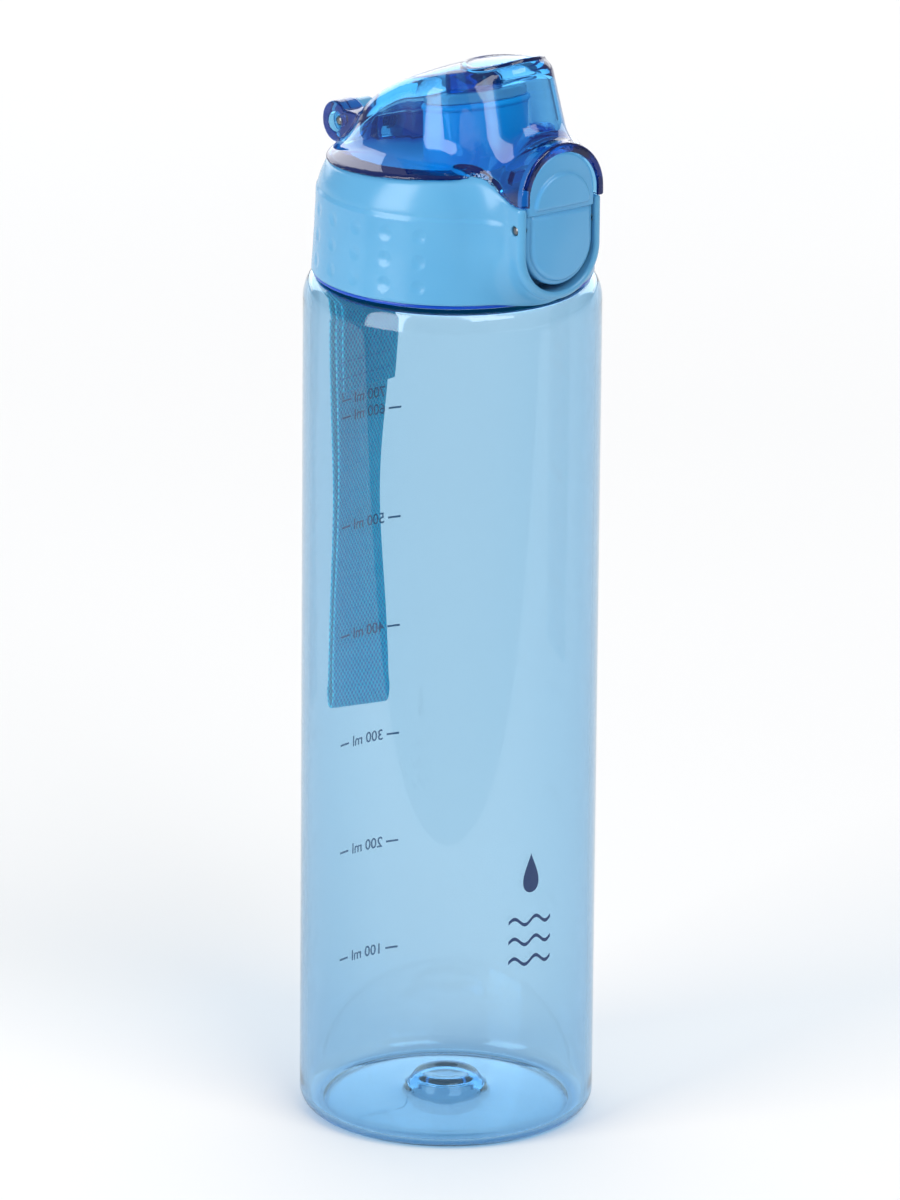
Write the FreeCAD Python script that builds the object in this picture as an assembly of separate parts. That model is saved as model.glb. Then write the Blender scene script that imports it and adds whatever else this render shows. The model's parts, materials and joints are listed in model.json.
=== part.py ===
import FreeCAD, Part

import math
import os

# A 700 ml flip-top drinking bottle: clear body, screw-on lid with a push-button cover, webbing carry strap.
# Millimetres. +Z is up, the origin is on the bottle's axis in the plane it stands on,
# -Y is the front (latch button) and +Y the back (cover hinge and strap).

V = FreeCAD.Vector
X_AXIS = V(1, 0, 0)
Y_AXIS = V(0, 1, 0)
Z_AXIS = V(0, 0, 1)

# bottle body
BODY_R = 35.5
BODY_WALL = 1.6
FOOT_FILLET = 4.5
FOOT_RING_IN = 29.6
SHOULDER_Z = 202.8
SHOULDER_R = 11.0
SHOULDER_TURN = math.radians(24)
SHOULDER_TIGHT_R = 3.0
NECK_OUT_R = 26.8
NECK_IN_R = 24.8
MOUTH_Z = 231.6

# screw thread between the neck and the cap
PITCH = 5.0
THREAD_TURNS = 1.25
THREAD_Z = 219.5
THREAD_ROOT_H = 1.8
THREAD_CREST_H = 1.0
NECK_CREST_R = 28.4
CAP_CREST_R = 27.2

# screw cap: skirt, roof and spout
CAP_IN_R = 28.8
CAP_OUT_R = 30.4
RIM_Z = 209.3
RIM_OUT_R = 33.2
RIM_H = 0.8
ROOF_LOW_Z = 234.0
ROOF_TOP_Z = 236.4
ROOF_R = 27.4
SPOUT_Y = -8.4
SPOUT_OUT_R = 12.3
SPOUT_BORE_R = 10.6
LIP_R = 12.9
LIP_H = 1.4
LIP_Z = 253.4
LIP_TILT = 10.5

# seal in the spout, and the boss of the cover that holds it; heights are above the lip
SEAL_R = 12.2
SEAL_GAP = 0.2
SEAL_HIGH = 2.6
PLUG_DEEP = 3.4
BOSS_R = 6.0
BOSS_LOW = 1.0

# collar shell
COLLAR_IN_R = 31.3
COLLAR_TOP_Z = 237.0
DIMPLE_ROWS = (215.3, 221.3, 227.4)
DIMPLE_COLUMNS = 6
DIMPLE_STEP = 15.2
DIMPLE_BALL_R = 2.0
DIMPLE_DEPTH = 0.35

# latch: housing on the collar, rocker button, pin
HOUSING_HALF_W = 12.2
HOUSING_LOW_Z = 223.8
HOUSING_TOP_Z = 234.0
HOUSING_FRONT_Y = -41.0
RECESS_HALF_W = 10.1
RECESS_BACK_Y = -33.6
BUTTON_HALF_W = 9.6
BUTTON_LOW_Z = 224.2
BUTTON_HIGH_Z = 237.4
BUTTON_FRONT_Y = -41.2
BUTTON_BACK_Y = -36.6
LATCH_PIN_Y = -38.6
LATCH_PIN_Z = 229.8
PIN_R = 1.2
RUNNING_GAP = 0.05

# flip cover
COVER_WALL = 1.7
COVER_LOW_Z = 237.2
COVER_RIM_R = 30.9
COVER_RIM_H = 0.9
COVER_SLOPE_TOP = (16.4, 243.4)
DOME_LOW_Z = 243.0
DOME_HIGH_Z = 268.0
DOME_LOW = ((-24.0, 13.5), (SPOUT_Y, 16.2), (13.5, 13.0))
DOME_HIGH = ((-17.2, 11.9), (SPOUT_Y, 13.6), (9.0, 9.5))
RIDGE_Y = -55.9
RIDGE_Z = 104.6
RIDGE_R = 165.0
CROWN_R = 23.2
ARCH_Z = 237.5
ARCH_OUT_R = 12.0
ARCH_IN_R = 9.9
ARCH_FRONT_Y = -41.6
ARCH_BACK_Y = -33.0
ARCH_FOOT_Z = 234.2
TOP_RING_Y = -18.5
TOP_RING_R = 9.8

# hinge of the cover
HINGE_Y = 28.0
HINGE_Z = 242.0
KNUCKLE_HALF_W = 7.8
KNUCKLE_R = 4.6
KNUCKLE_FOOT = 2.9
KNUCKLE_ROOM = 0.4
SPRING_SLOT_HALF_W = 3.4
EAR_IN_X = 8.0
EAR_OUT_X = 14.0
EAR_R = 5.0

# strap and its bar
BAR_Y = 38.0
BAR_Z = 221.0
BAR_R = 1.0
LUG_IN_X = 9.7
LUG_OUT_X = 10.9
STRAP_HALF_W = 9.5
STRAP_THICK = 1.0
STRAP_GAP = 0.25
STRAP_FOLD_Z = 91.0
STRAP_END_Z = 173.0
SEWN_TOP_Z = 214.0


def profile_face(start, *steps):
    """A closed face in the XZ plane: each step is an end point, or a (middle, end) pair for an arc."""
    edges = []
    here = V(start[0], 0, start[1])
    for step in steps + (start,):
        if isinstance(step[0], tuple):
            middle = V(step[0][0], 0, step[0][1])
            there = V(step[1][0], 0, step[1][1])
            edges.append(Part.Arc(here, middle, there).toShape())
        else:
            there = V(step[0], 0, step[1])
            if here.distanceToPoint(there) > 1e-6:
                edges.append(Part.makeLine(here, there))
        here = there
    return Part.Face(Part.Wire(edges))


def turned(start, *steps):
    """A solid of revolution about Z."""
    return profile_face(start, *steps).revolve(V(0, 0, 0), Z_AXIS, 360)


def x_rod(radius, half_length, y, z, low_x=None):
    """A cylinder along X, centred on X = 0 unless low_x is given."""
    start = -half_length if low_x is None else low_x
    length = 2 * half_length if low_x is None else half_length - low_x
    return Part.makeCylinder(radius, length, V(start, y, z), X_AXIS)


def box(low, high):
    """A box between two corners."""
    size = [b - a for a, b in zip(low, high)]
    return Part.makeBox(size[0], size[1], size[2], V(*low))


def upright_slot(half_w, low_z, high_z, front_y, back_y, round_top=True):
    """A plate in the XZ plane with a round lower end, and a round or square upper end."""
    low = Part.makeCylinder(half_w, back_y - front_y, V(0, front_y, low_z), Y_AXIS)
    middle = box((-half_w, front_y, low_z), (half_w, back_y, high_z))
    solid = low.fuse(middle)
    if round_top:
        solid = solid.fuse(Part.makeCylinder(half_w, back_y - front_y, V(0, front_y, high_z), Y_AXIS))
    return solid.removeSplitter()


def tangent_side(first, second, z):
    """The two ends of the line that touches two circles, each (y, radius), on their +X side."""
    (y1, r1), (y2, r2) = first, second
    lean = math.asin((r1 - r2) / (y2 - y1))
    c, s = math.cos(lean), math.sin(lean)
    return V(r1 * c, y1 + r1 * s, z), V(r2 * c, y2 + r2 * s, z)


def plan_wire(front, middle, back, z):
    """The outline round three circles on the Y axis, each given as (y, radius)."""
    a, b = tangent_side(front, middle, z)
    c, d = tangent_side(middle, back, z)

    def mirrored(p):
        return V(-p.x, p.y, p.z)

    right = [
        Part.makeLine(a, b),
        Part.Arc(b, V(middle[1], middle[0], z), c).toShape(),
        Part.makeLine(c, d),
    ]
    left = [
        Part.makeLine(mirrored(d), mirrored(c)),
        Part.Arc(mirrored(c), V(-middle[1], middle[0], z), mirrored(b)).toShape(),
        Part.makeLine(mirrored(b), mirrored(a)),
    ]
    back_end = Part.Arc(d, V(0, back[0] + back[1], z), mirrored(d)).toShape()
    front_end = Part.Arc(mirrored(a), V(0, front[0] - front[1], z), a).toShape()
    return Part.Wire(right + [back_end] + left + [front_end])


def circle_at(index, z, shrink):
    """Circle number index of the dome's plan at height z, as (y, radius)."""
    t = (z - DOME_LOW_Z) / (DOME_HIGH_Z - DOME_LOW_Z)
    (y0, r0), (y1, r1) = DOME_LOW[index], DOME_HIGH[index]
    return y0 + t * (y1 - y0), r0 + t * (r1 - r0) - shrink


def dome_solid(shrink, low_z):
    """The tall middle of the cover: leaning walls under a crowned ridge."""
    wires = [plan_wire(*[circle_at(n, z, shrink) for n in range(3)], z) for z in (low_z, DOME_HIGH_Z)]
    return Part.makeLoft(wires, True, True).common(ridge_drum(-shrink))


def ridge_drum(grow):
    """Everything below the cover's crowned, arched ridge surface."""
    top = RIDGE_R + grow
    crown = CROWN_R + grow
    half = 18.0
    drop = crown - math.sqrt(crown ** 2 - half ** 2)
    floor = 100.0

    def at(x, r):
        return V(x, RIDGE_Y, RIDGE_Z + r)

    face = Part.Face(Part.Wire([
        Part.Arc(at(-half, top - drop), at(0, top), at(half, top - drop)).toShape(),
        Part.makeLine(at(half, top - drop), at(half, floor)),
        Part.makeLine(at(half, floor), at(-half, floor)),
        Part.makeLine(at(-half, floor), at(-half, top - drop)),
    ]))
    return face.revolve(V(0, RIDGE_Y, RIDGE_Z), X_AXIS, 360)


def thread(root_r, crest_r, z):
    """One helical ridge, from root_r to crest_r, starting at height z."""
    helix = Part.makeHelix(PITCH, PITCH * THREAD_TURNS, root_r)
    root, crest = THREAD_ROOT_H / 2, THREAD_CREST_H / 2
    corners = [V(root_r, 0, -root), V(crest_r, 0, -crest), V(crest_r, 0, crest), V(root_r, 0, root)]
    section = Part.makePolygon(corners + corners[:1])
    ridge = Part.Wire(helix).makePipeShell([section], True, True)
    ridge.translate(V(0, 0, z))
    return ridge


def bottle_body():
    """One blown wall: pushed-up base with a central nub, straight side, shoulder and threaded neck."""
    c, s = math.cos(SHOULDER_TURN), math.sin(SHOULDER_TURN)
    half_c, half_s = math.cos(SHOULDER_TURN / 2), math.sin(SHOULDER_TURN / 2)
    mid_c = math.cos((SHOULDER_TURN + math.pi / 2) / 2)
    mid_s = math.sin((SHOULDER_TURN + math.pi / 2) / 2)
    big = (BODY_R - SHOULDER_R, SHOULDER_Z)
    small = (
        big[0] + (SHOULDER_R - SHOULDER_TIGHT_R) * c,
        big[1] + (SHOULDER_R - SHOULDER_TIGHT_R) * s,
    )
    diagonal = math.sqrt(0.5)

    def shoulder(wall):
        r1, r2 = SHOULDER_R - wall, SHOULDER_TIGHT_R - wall
        return [
            ((big[0] + r1 * half_c, big[1] + r1 * half_s), (big[0] + r1 * c, big[1] + r1 * s)),
            ((small[0] + r2 * mid_c, small[1] + r2 * mid_s), (small[0], small[1] + r2)),
        ]

    foot = (BODY_R - FOOT_FILLET, FOOT_FILLET)
    inner_r = BODY_R - BODY_WALL
    foot_in_z = FOOT_FILLET + 2.0
    outer = [
        (6.8, 6.4),
        (10.4, 2.7),
        (25.2, 1.3),
        ((28.2, 0.8), (FOOT_RING_IN, 0.0)),
        (foot[0], 0.0),
        ((foot[0] + FOOT_FILLET * diagonal, foot[1] - FOOT_FILLET * diagonal), (BODY_R, FOOT_FILLET)),
        (BODY_R, SHOULDER_Z),
        *shoulder(0.0),
        (NECK_OUT_R, small[1] + SHOULDER_TIGHT_R),
        (NECK_OUT_R, MOUTH_Z),
        (NECK_IN_R, MOUTH_Z),
    ]
    shoulder_in = shoulder(BODY_WALL)
    fillet_in = inner_r - foot[0] + 1.4
    inner = [
        (NECK_IN_R, small[1] + SHOULDER_TIGHT_R - BODY_WALL),
        shoulder_in[1][1],
        (shoulder_in[1][0], shoulder_in[0][1]),
        (shoulder_in[0][0], (inner_r, SHOULDER_Z)),
        (inner_r, foot_in_z),
        ((inner_r - fillet_in * (1 - diagonal), foot_in_z - fillet_in * (1 - diagonal) + 0.2),
         (inner_r - fillet_in, 2.3)),
        (25.0, 3.1),
        (11.2, 4.5),
        (7.5, 8.2),
        (0, 8.0),
    ]
    body = turned((0, 6.2), *outer, *inner)
    return body.fuse(thread(NECK_OUT_R - 0.2, NECK_CREST_R, THREAD_Z))


def tilted(solid):
    """A solid built about the origin, moved on to the slanted plane of the spout's lip."""
    solid.rotate(V(0, 0, 0), X_AXIS, -LIP_TILT)
    solid.translate(V(0, SPOUT_Y, LIP_Z))
    return solid


def screw_cap():
    """Inner cap: threaded skirt with a rim and two locating ribs, roof, and the slanted drinking spout."""
    rib = 1.9
    high_rib_z = 227.0
    skirt = turned(
        (CAP_IN_R, RIM_Z), (RIM_OUT_R, RIM_Z), (RIM_OUT_R, RIM_Z + RIM_H), (COLLAR_IN_R, RIM_Z + RIM_H),
        (COLLAR_IN_R, RIM_Z + RIM_H + rib), (CAP_OUT_R, RIM_Z + RIM_H + rib),
        (CAP_OUT_R, high_rib_z), (COLLAR_IN_R, high_rib_z), (COLLAR_IN_R, high_rib_z + rib),
        (CAP_OUT_R, high_rib_z + rib), (CAP_OUT_R, 231.0), (28.6, 234.0), (ROOF_R, 234.6),
        (ROOF_R, ROOF_TOP_Z), (0, ROOF_TOP_Z), (0, ROOF_LOW_Z), (27.6, ROOF_LOW_Z), (CAP_IN_R, 232.4),
    )
    spout = Part.makeCylinder(SPOUT_OUT_R, 30, V(0, SPOUT_Y, ROOF_LOW_Z), Z_AXIS)
    above = tilted(Part.makeCylinder(40, 30, V(0, 0, 0), Z_AXIS))
    lip = tilted(Part.makeCylinder(LIP_R, LIP_H, V(0, 0, -LIP_H), Z_AXIS))
    bore = Part.makeCylinder(SPOUT_BORE_R, 40, V(0, SPOUT_Y, ROOF_LOW_Z - 5), Z_AXIS)
    solid = skirt.fuse(spout.cut(above)).fuse(lip).cut(bore)
    return solid.fuse(thread(CAP_IN_R + 0.2, CAP_CREST_R, THREAD_Z - PITCH / 2))


def neck_gasket():
    """Silicone ring between the mouth and the cap's roof."""
    gap = 0.05
    return turned((NECK_IN_R + 0.2, MOUTH_Z + gap), (27.4, MOUTH_Z + gap),
                  (27.4, ROOF_LOW_Z - gap), (NECK_IN_R + 0.2, ROOF_LOW_Z - gap))


def spout_seal():
    """Silicone plug held by the cover: a flange over the spout's lip and a tapered plug in its bore."""
    return tilted(turned(
        (0, -PLUG_DEEP), (9.0, -PLUG_DEEP), (10.1, SEAL_GAP), (SEAL_R, SEAL_GAP), (SEAL_R, SEAL_HIGH),
        (BOSS_R, SEAL_HIGH), (BOSS_R, BOSS_LOW), (0, BOSS_LOW),
    ))


def collar_shell():
    """Outer shell of the lid with the latch housing, the hinge knuckles and the strap bar."""
    outer = turned(
        (0, 210.1), (33.6, 210.1), ((33.3, 214.0), (33.0, 219.0)), (32.5, 229.0), (32.4, 230.6),
        ((31.6, 233.4), (30.0, 235.5)), ((29.2, 236.5), (27.9, COLLAR_TOP_Z)), (0, COLLAR_TOP_Z),
    )
    housing = upright_slot(HOUSING_HALF_W, HOUSING_LOW_Z, HOUSING_TOP_Z, HOUSING_FRONT_Y, -20, False)
    solid = outer.fuse(housing)
    solid = solid.cut(turned(
        (0, 205), (COLLAR_IN_R, 205), (COLLAR_IN_R, 231.0), (29.3, 234.6), (ROOF_R, 235.2),
        (ROOF_R, COLLAR_TOP_Z + 5), (0, COLLAR_TOP_Z + 5),
    ))
    relief = 1.4
    for side in (-1, 1):
        x = sorted((side * KNUCKLE_HALF_W, side * (EAR_OUT_X + 0.8)))
        solid = solid.cut(x_rod(EAR_R + relief, x[1], HINGE_Y, HINGE_Z, x[0]))
    recess = upright_slot(RECESS_HALF_W, HOUSING_LOW_Z, HOUSING_TOP_Z + 9, -50, RECESS_BACK_Y, False)
    solid = solid.cut(recess)
    for side in (-1, 1):
        x = sorted((side * SPRING_SLOT_HALF_W, side * KNUCKLE_HALF_W))
        knuckle = x_rod(KNUCKLE_R, x[1], HINGE_Y, HINGE_Z, x[0])
        foot = box((x[0], HINGE_Y - KNUCKLE_FOOT, 235.6), (x[1], HINGE_Y + 2.2, HINGE_Z))
        x = sorted((side * LUG_IN_X, side * LUG_OUT_X))
        lug = box((x[0], 31.0, BAR_Z - 2.6), (x[1], BAR_Y, BAR_Z + BAR_R))
        lug_end = x_rod(BAR_R, x[1], BAR_Y, BAR_Z, x[0])
        solid = solid.fuse(knuckle).fuse(foot).fuse(lug).fuse(lug_end)
    solid = solid.fuse(x_rod(BAR_R, LUG_IN_X, BAR_Y, BAR_Z))
    solid = solid.cut(x_rod(PIN_R, 20, HINGE_Y, HINGE_Z)).cut(x_rod(PIN_R, 20, LATCH_PIN_Y, LATCH_PIN_Z))
    return solid.cut(Part.makeCompound(dimples()))


def dimples():
    """Balls that press the rows of grip dimples into both sides of the collar."""
    balls = []
    for side in (0, 180):
        for column in range(DIMPLE_COLUMNS):
            angle = math.radians(side + (column - (DIMPLE_COLUMNS - 1) / 2) * DIMPLE_STEP)
            for z in DIMPLE_ROWS:
                surface_r = 33.0 - 0.05 * (z - 219.0)
                r = surface_r + DIMPLE_BALL_R - DIMPLE_DEPTH
                balls.append(Part.makeSphere(DIMPLE_BALL_R, V(r * math.cos(angle), r * math.sin(angle), z)))
    return balls


def flip_cover():
    """Clear cover: sloping skirt, tall dome over the spout, arch over the latch and two hinge ears."""
    top_r, top_z = COVER_SLOPE_TOP
    wall = COVER_WALL
    skirt = turned(
        (0, COVER_LOW_Z), (COVER_RIM_R, COVER_LOW_Z), (COVER_RIM_R, COVER_LOW_Z + COVER_RIM_H),
        (top_r, top_z), (0, top_z),
    )
    skirt_in = turned(
        (0, COVER_LOW_Z - 5), (COVER_RIM_R - wall, COVER_LOW_Z - 5), (COVER_RIM_R - wall, COVER_LOW_Z - 0.2),
        (top_r - 1.0, top_z - wall), (0, top_z - wall),
    )
    shell = skirt.fuse(dome_solid(0.0, COVER_LOW_Z))
    shell = shell.cut(skirt_in.fuse(dome_solid(wall, COVER_LOW_Z - 6)))

    arch = upright_slot(ARCH_OUT_R, ARCH_FOOT_Z, ARCH_Z, ARCH_FRONT_Y, ARCH_BACK_Y)
    arch = arch.common(box((-20, -50, ARCH_FOOT_Z), (20, 0, 270)))
    tunnel = upright_slot(ARCH_IN_R, ARCH_FOOT_Z - 8, ARCH_Z, -50, -28)
    catch = box((-ARCH_IN_R - 0.5, -35.4, 239.8), (ARCH_IN_R + 0.5, -33.6, 242.2))
    solid = shell.fuse(arch).cut(tunnel).fuse(catch)

    ring = Part.makeCylinder(TOP_RING_R, 20, V(0, TOP_RING_Y, 255), Z_AXIS)
    ring = ring.cut(Part.makeCylinder(TOP_RING_R - 1.0, 20, V(0, TOP_RING_Y, 255), Z_AXIS))
    solid = solid.fuse(ring.common(ridge_drum(0.6)).cut(ridge_drum(-0.5)))

    boss = tilted(Part.makeCylinder(BOSS_R, 12, V(0, 0, BOSS_LOW), Z_AXIS)).common(ridge_drum(-0.5))
    block = box((-KNUCKLE_HALF_W, 19.0, 239.0), (KNUCKLE_HALF_W, 22.6, 246.0))
    solid = solid.fuse(boss).fuse(block)
    for side in (-1, 1):
        x = sorted((side * EAR_IN_X, side * EAR_OUT_X))
        ear = x_rod(EAR_R, x[1], HINGE_Y, HINGE_Z, x[0])
        arm = box((x[0], 17.0, 238.2), (x[1], HINGE_Y, HINGE_Z + 3.0))
        inner_arm = dome_solid(wall, COVER_LOW_Z - 6)
        solid = solid.fuse(ear).fuse(arm.cut(inner_arm))
    knuckle_room = box((-EAR_IN_X, HINGE_Y - KNUCKLE_FOOT - KNUCKLE_ROOM, 230), (EAR_IN_X, 40, 270))
    knuckle_room = knuckle_room.fuse(x_rod(KNUCKLE_R + KNUCKLE_ROOM, EAR_IN_X, HINGE_Y, HINGE_Z))
    return solid.cut(knuckle_room).cut(x_rod(PIN_R + RUNNING_GAP, 20, HINGE_Y, HINGE_Z))


def latch_button():
    """Rocker button: plate with a half-round boss, a lower pad, a hook on its back and a spring pocket."""
    plate = upright_slot(BUTTON_HALF_W, BUTTON_LOW_Z, BUTTON_HIGH_Z, BUTTON_FRONT_Y, BUTTON_BACK_Y)
    upper_back = box((-20, -38.2, 233.6), (20, -30, 260))
    boss = Part.makeCylinder(8.0, 0.8, V(0, BUTTON_FRONT_Y - 0.8, 234.4), Y_AXIS)
    boss = boss.common(box((-20, -60, 234.4), (20, 0, 260)))
    pad = upright_slot(BUTTON_HALF_W - 1.2, BUTTON_LOW_Z, 232.4, BUTTON_FRONT_Y - 0.5, BUTTON_FRONT_Y, False)
    hook = box((-4.0, -38.5, 242.6), (4.0, -35.6, 244.2))
    pocket = Part.makeCylinder(2.9, 1.4, V(0, BUTTON_BACK_Y - 1.4, 219.5), Y_AXIS)
    solid = plate.cut(upper_back).fuse(boss).fuse(pad).fuse(hook).cut(pocket)
    return solid.cut(x_rod(PIN_R + RUNNING_GAP, 20, LATCH_PIN_Y, LATCH_PIN_Z))


def coil(radius, wire_r, pitch, height):
    """A coil of round wire about Z, from z = 0 up."""
    helix = Part.makeHelix(pitch, height, radius)
    ring = Part.Wire(Part.makeCircle(wire_r, V(radius, 0, 0), Y_AXIS))
    return Part.Wire(helix).makePipeShell([ring], True, True)


def latch_spring():
    """Compression spring between the button and the back of its recess."""
    wire_r = 0.25
    low_y = BUTTON_BACK_Y - 1.4 + wire_r
    high_y = RECESS_BACK_Y - wire_r
    spring = coil(2.3, wire_r, (high_y - low_y) / 5, high_y - low_y)
    spring.rotate(V(0, 0, 0), X_AXIS, -90)
    spring.translate(V(0, low_y, 219.5))
    return spring


def hinge_spring():
    """Torsion spring round the hinge pin, with two short legs."""
    wire_r = 0.35
    length = 4.5
    spring = coil(2.4, wire_r, 0.9, length)
    leg = Part.makeCylinder(wire_r, 3.2, V(2.4, 0, 0), V(0, -1, 0))
    other = Part.makeCylinder(wire_r, 3.2, V(2.4, 0, length), V(0, 1, 0))
    spring = spring.fuse(leg).fuse(other)
    spring.rotate(V(0, 0, 0), Y_AXIS, 90)
    spring.rotate(V(0, 0, 0), X_AXIS, -35)
    spring.translate(V(-length / 2, HINGE_Y, HINGE_Z))
    return spring


def carry_strap():
    """Webbing loop that hangs from the bar, with its sewn end as a second layer."""
    inner_r = BAR_R + STRAP_GAP
    outer_r = inner_r + STRAP_THICK
    low_z = STRAP_FOLD_Z + outer_r
    loops = []
    for r in (outer_r, inner_r):
        top = Part.makeCylinder(r, 2 * STRAP_HALF_W, V(-STRAP_HALF_W, BAR_Y, BAR_Z), X_AXIS)
        middle = box((-STRAP_HALF_W, BAR_Y - r, low_z), (STRAP_HALF_W, BAR_Y + r, BAR_Z))
        fold = Part.makeCylinder(r, 2 * STRAP_HALF_W, V(-STRAP_HALF_W, BAR_Y, low_z), X_AXIS)
        loops.append(top.fuse(middle).fuse(fold))
    layer_y = BAR_Y - inner_r
    sewn = box((-STRAP_HALF_W, layer_y, STRAP_END_Z), (STRAP_HALF_W, layer_y + STRAP_THICK, SEWN_TOP_Z))
    return loops[0].cut(loops[1]).fuse(sewn).removeSplitter()


def strap_stitching():
    """Rows of short thread stitches that hold the sewn end."""
    stitches = []
    face_y = BAR_Y - BAR_R - STRAP_GAP - STRAP_THICK
    for row_z in (176.0, 180.0, 207.0, 211.0):
        for column in range(-4, 5):
            low = (column * 2.0 - 0.7, face_y - 0.1, row_z - 0.2)
            high = (column * 2.0 + 0.7, face_y + 0.3, row_z + 0.2)
            stitches.append(box(low, high))
    return Part.makeCompound(stitches)


PARTS = {
    "bottle_body": bottle_body,
    "screw_cap": screw_cap,
    "neck_gasket": neck_gasket,
    "collar_shell": collar_shell,
    "flip_cover": flip_cover,
    "spout_seal": spout_seal,
    "hinge_pin": lambda: x_rod(PIN_R, EAR_OUT_X, HINGE_Y, HINGE_Z),
    "hinge_spring": hinge_spring,
    "latch_button": latch_button,
    "latch_pin": lambda: x_rod(PIN_R, HOUSING_HALF_W, LATCH_PIN_Y, LATCH_PIN_Z),
    "latch_spring": latch_spring,
    "carry_strap": carry_strap,
    "strap_stitching": strap_stitching,
}

os.makedirs("parts", exist_ok=True)
for name, make in PARTS.items():
    shape = make()
    print(name, shape.isValid(), len(shape.Solids), round(shape.Volume, 1))
    shape.exportStep("parts/" + name + ".step")
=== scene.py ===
"""Looks of the clear flip-top drinking bottle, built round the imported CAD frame.

Moulded pieces are written as distance fields in millimetres in the row frame (+Z up, front at -Y) and meshed
here; the bottle, the strap and the small round pieces are built from their section or path.
"""
import json
import math

import bpy
import numpy as np
from mathutils import Matrix, Vector


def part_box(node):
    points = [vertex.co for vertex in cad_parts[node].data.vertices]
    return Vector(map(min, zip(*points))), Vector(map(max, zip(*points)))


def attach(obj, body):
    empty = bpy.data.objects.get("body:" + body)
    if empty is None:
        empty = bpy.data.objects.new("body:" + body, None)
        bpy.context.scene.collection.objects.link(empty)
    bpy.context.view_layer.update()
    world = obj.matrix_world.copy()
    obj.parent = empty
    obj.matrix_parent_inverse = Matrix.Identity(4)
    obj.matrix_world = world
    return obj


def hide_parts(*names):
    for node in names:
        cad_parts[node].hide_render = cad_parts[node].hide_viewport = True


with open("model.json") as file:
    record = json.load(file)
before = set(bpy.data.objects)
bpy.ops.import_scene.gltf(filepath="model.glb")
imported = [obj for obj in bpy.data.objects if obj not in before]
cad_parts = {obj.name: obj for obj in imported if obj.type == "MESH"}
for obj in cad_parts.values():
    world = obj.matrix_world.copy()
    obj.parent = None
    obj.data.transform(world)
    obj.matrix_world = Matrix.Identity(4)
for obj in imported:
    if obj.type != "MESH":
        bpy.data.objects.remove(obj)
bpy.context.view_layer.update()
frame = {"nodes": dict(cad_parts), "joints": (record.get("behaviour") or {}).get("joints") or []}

MM = 0.001


def node_box(name):
    """A CAD node's box in millimetres."""
    low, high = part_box(name)
    return np.array(low) / MM, np.array(high) / MM


def joint(name):
    """A joint's place in millimetres."""
    found = next(j for j in frame["joints"] if j["name"] == name)
    return np.array(found["pos_m"]) / MM


# ---- driving sizes, from the CAD frame
body_high = node_box("bottle_body")[1]
collar_low, collar_high = node_box("collar_shell")
cover_low, cover_high = node_box("flip_cover")
cap_low, cap_high = node_box("screw_cap")
strap_low, strap_high = node_box("carry_strap")
HINGE = joint("cover_hinge")
LATCH = joint("button_press")
BAR = joint("strap_swing")

BODY_R = body_high[0]
MOUTH_Z = body_high[2]
WALL = 1.6
NECK_OUT_R = 26.8
NECK_IN_R = 24.8
SHOULDER_Z = 202.8
SHOULDER_R = 11.0
SHOULDER_TURN = math.radians(24)
SHOULDER_TIGHT_R = 3.0
PITCH = 5.0
THREAD_TURNS = 1.25
THREAD_Z = 219.5
THREAD_DEEP = 1.6
HEEL_R = 4.5

COLLAR_LOW_Z = collar_low[2]
COLLAR_R = 33.6
COLLAR_IN_R = 31.3
SHOULDER_STEP_Z = 230.3
SEAM_Z = 237.9
SEAM_SLOPE = 0.062
SEAM_FRONT_Z = COLLAR_LOW_Z + 25.2
SEAM_DIP_Y = -26.0
HOUSING_R = 12.2
HOUSING_LOW_Z = 223.8
RECESS_R = 10.1
RECESS_BACK_Y = -33.6
DIMPLE_ROWS_Z = (214.5, 220.5, 226.6)
DIMPLE_STEP = math.radians(15.2)
DIMPLE_R = 4.2
DIMPLE_OUT = 4.0
DECK_R = 28.3
ROOF_TOP_Z = 236.4
ROOF_LOW_Z = 234.0
SPOUT_Y = -8.4
SPOUT_R = 12.3
BORE_R = 10.6
LIP_R = 12.9
LIP_Z = 253.4
LIP_TILT = math.radians(10.5)

ARCH_Z = 237.5
ARCH_OUT_R = 12.0
ARCH_IN_R = 9.9
KNUCKLE_R = 4.6
KNUCKLE_X = (3.4, 7.8)
EAR_R = 5.0
EAR_X = (8.0, 14.0)
BAR_R = 1.0

COVER_WALL = 1.7
COVER_GAP = 0.35
RIM_R = 30.2
RIDGE_CENTRE = (-35.7, 177.3)
RIDGE_R = 90.0
DOME_LOW_Z = 243.0
DOME_HIGH_Z = 268.0
DOME_LOW = ((-25.5, 12.0), (-4.5, 17.2), (9.0, 18.0))
DOME_HIGH = ((-18.6, 10.4), (-4.5, 14.6), (7.5, 12.0))
PIN_R = 1.2
PIN_PLAY = 0.05

WEAVE_ACROSS = 1.19
WEAVE_ALONG = 1.7
WEBBING_HALF = 0.36
WEAVE_DEEP = 0.13
SEWN_HIGH_Z = 214.0
SEWN_LENGTH = 42.0
SEAM_ROWS_Z = (176.0, 180.0, 207.0, 211.0)


# ---- distance fields
def round_max(a, b, r):
    """The space in both, with its edge rounded to radius r."""
    return np.hypot(np.maximum(a + r, 0), np.maximum(b + r, 0)) + np.minimum(np.maximum(a, b), -r)


def round_min(a, b, r):
    """The space in either, with a concave fillet of radius r between them."""
    return -round_max(-a, -b, r)


def cut(a, b, r=0.0):
    """a without b, with the new edge rounded to radius r."""
    return round_max(a, -b, r) if r else np.maximum(a, -b)


def slab(v, low, high):
    """The space between two planes square to one axis."""
    return np.abs(v - (low + high) / 2) - (high - low) / 2


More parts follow.
